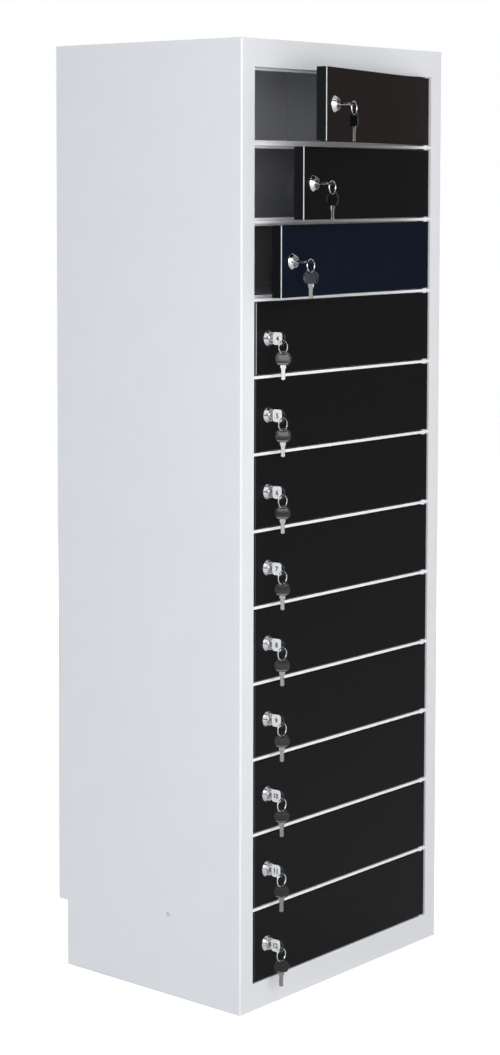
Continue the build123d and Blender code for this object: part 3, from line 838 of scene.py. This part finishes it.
@dataclass
class KeyInLock:
    """Plug with its keyway, the cam and its screw behind it, and the key with its number plate."""

    number: int
    plug: float = 5.9
    face: float = 6.6
    tail: float = 17.4
    keyway: Pair = (1.15, 3.35)
    keyway_deep: float = 1.4
    cam_reach: float = 30.0
    cam_heel: float = 7.0
    cam_wide: float = 14.0
    cam_thick: float = 2.0
    cam_edge: float = 0.25
    cam_corner: float = 3.0
    bolt: float = 4.6
    bolt_side: float = 1.9
    bolt_tall: float = 2.5

    def build(self) -> list[Piece]:
        """Makes the plug, the cam, its screw, the key and its plate.

        Returns:
            The pieces.
        """
        seats, form = LockSeats(self.number), KeyForm()
        key, bow, plate = seats.key(), seats.bow(), NumberPlate(self.number)
        plug = pressed_disc(self.plug, self.face + self.tail, 0.0, self.keyway_deep, [self.keyway])
        under, long = -self.tail - self.cam_thick, self.cam_reach + self.cam_heel
        cam = block(self.cam_wide, long, under, -self.tail, self.cam_edge, self.cam_corner)
        rows = [(self.bolt, under), (self.bolt, under - self.bolt_side)]
        rows += [(self.bolt - 0.5, under - self.bolt_tall)]
        kinds = (
            ("lock_plug", plug.shifted(z=self.face).placed(key), CHROME),
            ("lock_cam", cam.shifted(y=self.cam_heel - long / 2).placed(key), ZINC),
            ("cam_bolt", turned(rows, steps=6).placed(key), ZINC),
            ("lock_key_blade", form.blade_shape().placed(bow), NICKEL),
            ("lock_key_bow", form.bow_shape().placed(bow), BOW),
            ("key_plate", plate.plate_shape().placed(bow), PLATE),
        )
        pieces = make_set(self.number, "key", "key_body", kinds)
        return pieces + [plate.figures("plate_number", bow, "key_body", Slot.KEY)]


@dataclass
class SpareKey:
    """Split ring of two turns of flat wire, and the spare key that hangs on it."""

    number: int
    ring: float = 9.3
    drop: float = 5.6
    wire: float = 0.7
    turns: float = 1.94
    start: float = 0.8
    cuts: tuple[float, ...] = (0.9, 0.4, 1.2, 0.6, 1.0, 0.3)

    def ring_shape(self) -> Shape:
        """Oval section carried along a helix: x = r cos a, y = r sin a, z rises one wire a turn.

        Returns:
            The shape, on the ring's seat.
        """
        angle, around = np.linspace(0.0, 2.0 * np.pi * self.turns, 130) + self.start, full_turn(10)
        radius = self.ring + self.wire * np.cos(around)
        rise = (angle - angle.mean()) / (2.0 * np.pi) * self.wire
        x = np.outer(np.cos(angle), radius)
        y = np.outer(np.sin(angle), radius) - self.drop
        z = rise[:, None] + self.wire * 0.5 * np.sin(around)
        return skin(np.stack([x, y, z], axis=-1))

    def build(self) -> list[Piece]:
        """Makes the ring and the key on it.

        Returns:
            The pieces.
        """
        seats, form = LockSeats(self.number), KeyForm(cuts=self.cuts)
        spare, plate = seats.spare(), NumberPlate(self.number, wide=13.0, tall=15.0, inward=1.4)
        kinds = (
            ("split_ring", self.ring_shape().placed(seats.ring()), WIRE),
            ("spare_key_blade", form.blade_shape().placed(spare), NICKEL),
            ("spare_key_bow", form.bow_shape().placed(spare), BOW),
            ("spare_key_plate", plate.plate_shape().placed(spare), PLATE),
        )
        pieces = make_set(self.number, "spare_key", "spare_body", kinds)
        return pieces + [plate.figures("spare_number", spare, "spare_body", Slot.SPARE)]


def door_span(number: int) -> Pair:
    """Heights of a door's foot and of its top, in millimetres."""
    foot, top = (corner.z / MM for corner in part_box(f"door_{number}"))
    return foot, top


def dress(node: str, finish: Finish) -> None:
    """Gives a node of the model its finish.

    Args:
        node: the node's name.
        finish: the finish.
    """
    piece = frame["nodes"][node]
    for slot in piece.material_slots:
        slot.link = "OBJECT"
        slot.material = finish.material()


@dataclass
class Door:
    """One door: the folded pan from the model, with its paint, and its lock and keys."""

    number: int

    def angle(self) -> float:
        """Degrees that the door stands open at rest."""
        return -float(JOINTS[f"door_swing_{self.number}"]["range_deg"][0])

    def paint(self) -> DoorPaint:
        """Picks this door's paint: its own, or the one that the other shut doors share.

        Returns:
            The door's paint.
        """
        own = DOOR_LOOKS.get(self.number, {})
        name = f"door_paint_{self.number}" if own else "door_paint_shut"
        return DoorPaint(name, angle=self.angle(), **own)

    def build(self) -> list[Piece]:
        """Dresses the pan and builds what it carries."""
        dress(f"door_{self.number}", self.paint())
        return [piece for kind in (CamLock, KeyInLock, SpareKey) for piece in kind(self.number).build()]


@dataclass
class Cabinet:
    """Sheet-metal case of the model with its finishes, and its hinge pins, the dark disc of painted shade
    in the side dimple, and screws.
    """

    pin: float = 2.0
    pin_end: float = 0.4
    pin_reach: float = 6.0
    bush: float = 3.9
    bush_bore: float = 2.04
    bush_edge: float = 0.25
    bush_tall: float = 1.7
    bush_gap: float = 0.15
    # Radius of the darker disc that paints the dimple's shade.
    plug: float = 3.7
    plug_seat: Triple = (-239.5, -42.5, 121.0)
    screw_head: float = 4.4
    screw_tall: float = 2.2
    screw_side: float = 0.6
    screw_rows: int = 3
    cross: Pair = (0.55, 2.3)
    cross_deep: float = 1.1

    def hinges(self) -> list[Piece]:
        """Hinge pins with broken ends, from inside one door to inside the next, and white collars
        round them, in the gaps above and below every door.

        Returns:
            The pins as one piece and the collars as one.
        """
        low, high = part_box("hinge_pins")
        x, y = ((np.array(low) + np.array(high)) / 2 / MM)[:2]
        feet, tops = zip(*(door_span(number) for number in NUMBERS))
        spans = [(tops[0] - self.pin_reach, high.z / MM)]
        spans += [(top - self.pin_reach, foot + self.pin_reach) for foot, top in zip(feet, tops[1:])]
        spans += [(low.z / MM, feet[-1] + self.pin_reach)]
        pin, end, thin = self.pin, self.pin_end, self.pin - self.pin_end
        rows = [[(thin, foot), (pin, foot + end), (pin, top - end), (thin, top)] for foot, top in spans]
        pins = joined([turned(row).shifted(x, y) for row in rows])
        edge = self.bush - self.bush_edge
        collar = [(self.bush_bore, 0.0), (edge, 0.0), (self.bush, self.bush_edge)]
        collar += [(self.bush, self.bush_tall - self.bush_edge), (edge, self.bush_tall)]
        collar = turned(collar + [(self.bush_bore, self.bush_tall)], ring=True)
        collars = []
        for foot, top in zip(feet, tops):
            for level in (foot - self.bush_gap - self.bush_tall, top + self.bush_gap):
                collars.append(collar.shifted(x, y, level))
        pieces = [
            make_piece("round_hinge_pins", pins, STEEL, "cabinet"),
            make_piece("hinge_bushes", joined(collars), BAR, "cabinet"),
        ]
        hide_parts("hinge_pins")
        return pieces

    def side_plug(self) -> Piece:
        """Small disc in the dimple low on the left side panel, darker than the panel as painted shade of
        the dimple.

        Returns:
            The plug.
        """
        rows = [(self.plug, 0.0), (self.plug, 0.15), (self.plug - 0.6, 0.32), (self.plug - 1.6, 0.38)]
        shape = turned(rows, 32).placed(seat_of(self.plug_seat, BACK, LEFT))
        return make_piece("side_plug", shape, DIMPLE_SHADE, "cabinet")

    def screws(self) -> Piece:
        """Domed screws with a cross recess, in two columns down the back cover.

        Returns:
            The piece with all the screws.
        """
        low, high = (np.array(corner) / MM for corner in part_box("cover_screws"))
        columns = (low[0] + self.screw_head, high[0] - self.screw_head)
        rows = np.linspace(low[2] + self.screw_head, high[2] - self.screw_head, self.screw_rows)
        face, dome = high[1] - self.screw_tall, self.screw_tall - self.screw_side
        head = pressed_disc(self.screw_head, 0.5, dome, self.cross_deep, [self.cross, self.cross[::-1]])
        tip = [(1.4, -self.screw_tall - 5.5), (2.0, -self.screw_tall - 4.6)]
        whole = joined([head.shifted(z=self.screw_side), turned(tip + [(2.0, -0.3), (1.8, -0.2)], 20)])
        shape = joined([whole.placed(seat_of((x, face, z), LEFT, BACK)) for x in columns for z in rows])
        piece = make_piece("domed_cover_screws", shape, ZINC, "cabinet")
        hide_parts("cover_screws")
        return piece

    def build(self) -> list[Piece]:
        """Dresses the sheet metal and makes the pins, the collars, the disc of painted shade in the side
        dimple and the screws.

        Returns:
            The new pieces.
        """
        for node in ("side_panel_left", "side_panel_right", "top_panel", "base_panel", "back_cover"):
            dress(node, SHELL)
        # The crossbars take the lighter white paint, which carries a painted highlight.
        dress("crossbars", BAR)
        # Shelves and partition take the lighter copy of the shell paint, which carries painted light.
        for node in ("rear_partition", "shelves"):
            dress(node, INNER)
        return [*self.hinges(), self.side_plug(), self.screws()]


@dataclass
class ChargingGear:
    """Charging modules with their sockets' tongues and liners, and the unit with its mains inlet."""

    module_x: float = -150.0
    face: float = 120.5
    port_pitch: float = 16.0
    ports: tuple[Pair, ...] = ((13.0, 5.6), (9.2, 3.4))
    port_deep: float = 9.0
    port_edge: float = 1.2
    inlet: Triple = (110.0, 182.5, 180.0)
    inlet_deep: float = 16.0
    contacts_at: tuple[Pair, ...] = ((-7.0, -1.0), (0.0, 3.0), (7.0, -1.0))
    contact: tuple[float, ...] = (2.2, 4.2, 1.7, 14.6, 0.35, 0.5)
    liner: Pair = (0.05, 0.4)
    liner_lip: float = 0.12
    tongue_gap: float = 2.2
    tongue_share: float = 0.3
    tongue_sunk: float = 1.2

    def sockets(self) -> list[Piece]:
        """Liners and tongues of every module's two sockets, each liner a frame round its tongue.

        Returns:
            The liners as one piece and the tongues as one.
        """
        (outer, inner), back, lip = self.liner, -self.port_deep + 0.4, self.liner_lip
        rows = [(outer, back), (outer, lip), (inner, lip), (inner, back)]
        liners, tongues = [], []
        for number in NUMBERS:
            upper = sum(door_span(number)) / 2 + self.port_pitch / 2
            for row, (width, tall) in enumerate(self.ports):
                height = upper - row * self.port_pitch
                seat = seat_of((self.module_x, self.face, height), RIGHT, FORWARD)
                liner = slab(width, tall, min(self.port_edge, tall / 3), rows, ring=True)
                size = (width - self.tongue_gap, tall * self.tongue_share)
                tongue = block(*size, -self.port_deep + 0.3, -self.tongue_sunk, 0.15, 0.3)
                liners.append(liner.placed(seat))
                tongues.append(tongue.placed(seat))
        return [
            make_piece("socket_liners", joined(liners), STEEL, "cabinet"),
            make_piece("socket_tongues", joined(tongues), TONGUE, "cabinet"),
        ]

    def contacts(self) -> Piece:
        """Three bright contacts in the mains inlet, each a block with its sizes as in contact.

        Returns:
            The piece with the contacts.
        """
        x, back, z = self.inlet
        places = [(x + across, back - self.inlet_deep, z + up) for across, up in self.contacts_at]
        blades = [block(*self.contact).placed(seat_of(place, LEFT, BACK)) for place in places]
        return make_piece("inlet_contacts", joined(blades), CONTACT, "cabinet")

    def build(self) -> list[Piece]:
        """Dresses the modules and the unit and makes the metal in their sockets.

        Returns:
            The new pieces.
        """
        dress("charging_modules", BEZEL)
        dress("power_unit", CASE)
        return self.sockets() + [self.contacts()]


@dataclass
class Studio:
    """Plain white floor, soft light and the camera at the photograph's angle."""

    image: tuple[int, int] = (500, 1055)
    focal: float = 2309.5
    principal: float = 350.0
    yaw: float = 49.8526
    pitch: float = 4.1385
    roll: float = 0.1323
    eye: Triple = (-2713.2, -2284.6, 1196.8)
    target: Triple = (0.0, 0.0, 0.7)
    room: float = 0.315
    sky: float = 0.25
    strips: float = 7.0
    contrast: float = 2.0
    share: float = 0.6
    dark: float = 0.06
    floor_side: float = 14.0
    floor_glow: float = 0.72

    def camera(self) -> None:
        """Sets the camera from the fit: it looks along yaw and pitch, and its shift only reframes."""
        yaw, pitch, roll = (math.radians(value) for value in (self.yaw, self.pitch, self.roll))
        ahead = Vector((math.sin(yaw) * math.cos(pitch), math.cos(yaw) * math.cos(pitch), -math.sin(pitch)))
        right = Vector((math.cos(yaw), -math.sin(yaw), 0.0))
        up = right.cross(ahead)
        level_right = right * math.cos(roll) + up * math.sin(roll)
        level_up = up * math.cos(roll) - right * math.sin(roll)
        lens = bpy.data.cameras.new("camera")
        lens.sensor_fit = "VERTICAL"
        lens.sensor_height = 36.0
        lens.lens = self.focal * lens.sensor_height / self.image[1]
        lens.shift_y = -(self.image[1] / 2 - self.principal) / self.image[1]
        lens.clip_end = 60.0
        eye = add_object("camera", lens)
        turn = Matrix((level_right, level_up, -ahead)).transposed().to_4x4()
        eye.matrix_world = Matrix.Translation(Vector(self.eye) * MM) @ turn
        bpy.context.scene.camera = eye

    def world(self) -> None:
        """Lights the room evenly; the camera sees plain white, and gloss sees what reflected() gives."""
        sheet = NodeSheet(bpy.data.worlds.new("room"))
        bpy.context.scene.world = sheet.owner
        ray = sheet.add("ShaderNodeLightPath", {}).outputs
        even = sheet.add("ShaderNodeBackground", {"Color": (0.97, 0.985, 1.0, 1.0), "Strength": self.room})
        white = sheet.add("ShaderNodeBackground", {"Color": (1.0, 1.0, 1.0, 1.0)})
        gloss = sheet.add("ShaderNodeBackground", {"Color": self.reflected(sheet)})
        shiny = sheet.either(ray["Is Glossy Ray"], even.outputs[0], gloss.outputs[0])
        seen = sheet.either(ray["Is Camera Ray"], shiny, white.outputs[0])
        sheet.add("ShaderNodeOutputWorld", {"Surface": seen})

    def reflected(self, sheet: NodeSheet) -> Socket:
        """Gives what gloss sees: a white room with a grey band at eye level, between upright dark strips.

        Args:
            sheet: the world's node sheet.

        Returns:
            The colour of the room in a direction.
        """
        direction = sheet.add("ShaderNodeTexCoord", {}).outputs["Generated"]
        x, y, z = sheet.add("ShaderNodeSeparateXYZ", {0: direction}).outputs
        height = sheet.maths("MULTIPLY", sheet.maths("ADD", z, 1.0), 0.5)
        band = sheet.add("ShaderNodeValToRGB", {"Fac": height})
        ramp = band.color_ramp
        for end, level in zip(ramp.elements, (0.85, 1.0)):
            end.color = (level, level, level, 1.0)
        for position, level in ((0.42, 0.8), (0.47, self.sky), (0.53, self.sky), (0.6, 0.9)):
            ramp.elements.new(position).color = (level, level, level * 1.02, 1.0)
        around = sheet.maths("ARCTAN2", y, x)
        wave = sheet.maths("SINE", sheet.maths("MULTIPLY", around, self.strips))
        strips = sheet.maths("ADD", sheet.maths("MULTIPLY", wave, self.contrast), self.share)
        dark = (self.dark, self.dark, self.dark, 1.0)
        return sheet.mix(sheet.span(strips, 0.0, 1.0), dark, band.outputs[0])

    def lamp(self, name: str, place: Triple, size: float, power: float, tint: Triple) -> None:
        """Hangs a soft square lamp that faces the middle of the cabinet.

        Args:
            name: the lamp's name.
            place: where it hangs, in metres.
            size: its edge in metres.
            power: its power in watts.
            tint: its colour.
        """
        light = bpy.data.lights.new(name, "AREA")
        light.shape, light.size, light.energy, light.color = "SQUARE", size, power, tint
        holder = add_object(name, light)
        holder.location = place
        holder.rotation_euler = (Vector(self.target) - Vector(place)).to_track_quat("-Z", "Y").to_euler()

    def floor(self) -> None:
        """Lays the floor: pale, but lifted to near white with a faint shadow for the camera."""
        half = self.floor_side / 2
        mesh = bpy.data.meshes.new("floor")
        corners = [(x * half, y * half, 0.0) for x, y in ((-1, -1), (1, -1), (1, 1), (-1, 1))]
        mesh.from_pydata(corners, [], [(0, 1, 2, 3)])
        sheet = NodeSheet(bpy.data.materials.new("floor_white"))
        pale = sheet.add("ShaderNodeBsdfDiffuse", {"Color": (0.9, 0.9, 0.9, 1.0)}).outputs[0]
        glow = sheet.add("ShaderNodeEmission", {"Strength": self.floor_glow}).outputs[0]
        lifted = sheet.add("ShaderNodeAddShader", {0: pale, 1: glow}).outputs[0]
        to_camera = sheet.add("ShaderNodeLightPath", {}).outputs["Is Camera Ray"]
        sheet.add("ShaderNodeOutputMaterial", {"Surface": sheet.either(to_camera, pale, lifted)})
        mesh.materials.append(sheet.owner)
        add_object("floor", mesh)

    def build(self) -> None:
        """Sets up the camera, the world, the lamps and the floor."""
        bpy.context.scene.view_settings.view_transform = "Standard"
        self.camera()
        self.world()
        self.floor()
        white, cool = (1.0, 1.0, 1.0), (0.86, 0.96, 1.0)
        self.lamp("front_lamp", (-1.6, -2.7, 1.55), 2.2, 66.0, white)
        self.lamp("back_lamp", (1.9, 3.2, 1.6), 2.2, 66.0, white)
        self.lamp("side_lamp", (-3.4, -0.1, 1.2), 2.4, 18.3, cool)


def main() -> None:
    """Builds the studio and every sub-assembly, and reports each piece."""
    logging.basicConfig(level=logging.INFO, format="%(name)s %(message)s")
    Studio().build()
    for assembly in (Cabinet(), ChargingGear(), *(Door(number) for number in NUMBERS)):
        for piece in assembly.build():
            LOG.info("%s: %d faces", piece.name, len(piece.data.polygons))


if __name__ == "__main__":
    main()
